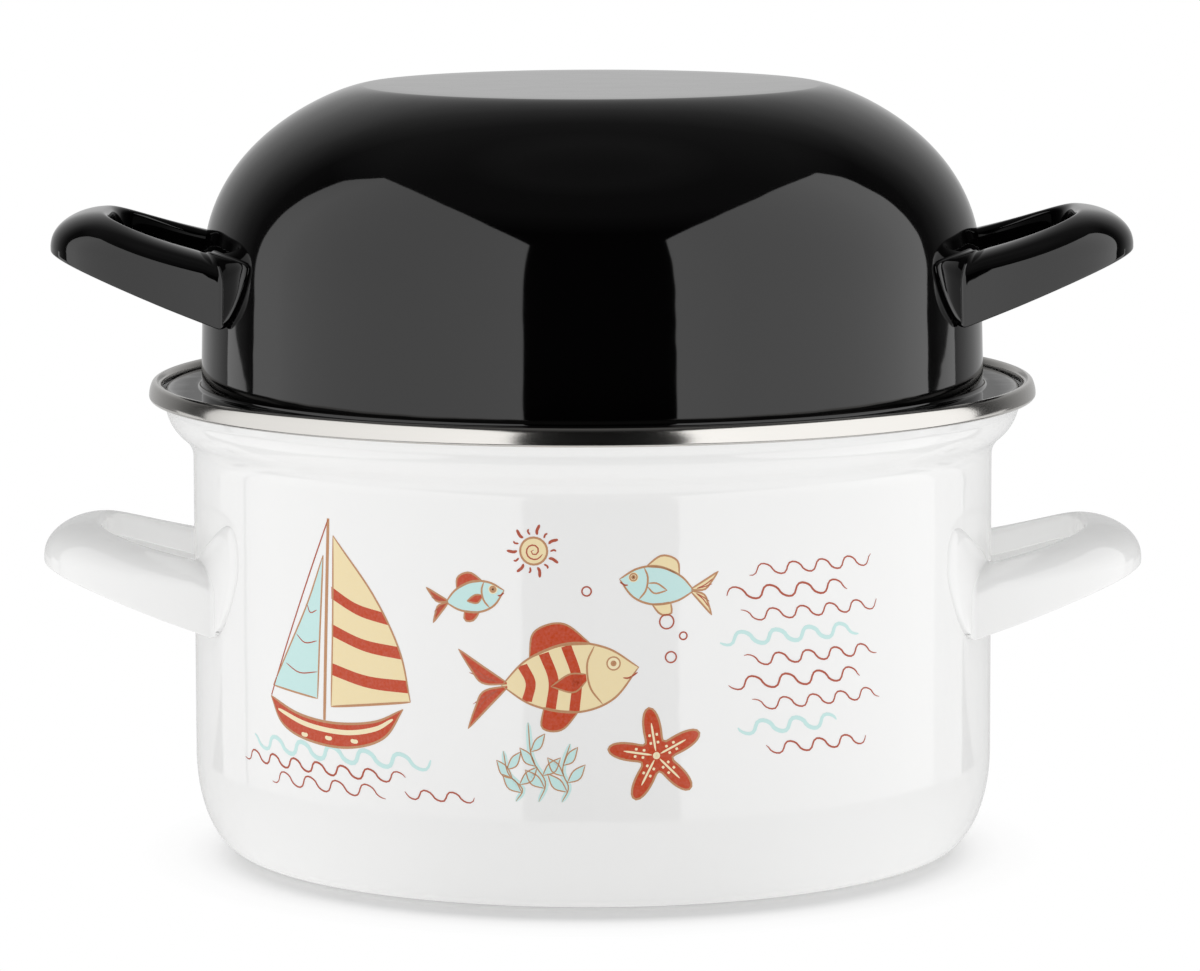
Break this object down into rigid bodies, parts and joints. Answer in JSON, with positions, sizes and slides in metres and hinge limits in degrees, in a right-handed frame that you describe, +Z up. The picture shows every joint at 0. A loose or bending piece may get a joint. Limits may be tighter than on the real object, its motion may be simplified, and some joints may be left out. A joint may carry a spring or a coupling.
{
  "type": "mussel pot",
  "caption": "Enamelled steel mussel pot with steel-banded rim, loop handles and a deep domed lid that lifts off and turns over to serve as a bowl.",
  "frame": {"origin": "centre of the base ring, on the surface that the pot stands on", "axes": "+X through the right-hand handles, +Y away from the printed front, +Z up through the lid"},
  "size_m": [0.2756, 0.2218, 0.1912],
  "materials": {
    "white_enamel": "glossy vitreous enamel",
    "black_enamel": "high-gloss vitreous enamel",
    "rim_steel": "polished stainless steel with fine turned lines"
  },
  "bodies": {
    "pot": {"pot_body": "white_enamel", "rim_band": "rim_steel", "pot_handle_left": "white_enamel", "pot_handle_right": "white_enamel"},
    "lid": {"lid_shell": "black_enamel", "lid_handle_left": "black_enamel", "lid_handle_right": "black_enamel"}
  },
  "joints": [
    {"name": "lid_lift", "type": "slide", "parent": "pot", "child": "lid", "axis": [0, 0, 1], "range_m": [0, 0.25]}
  ]
}
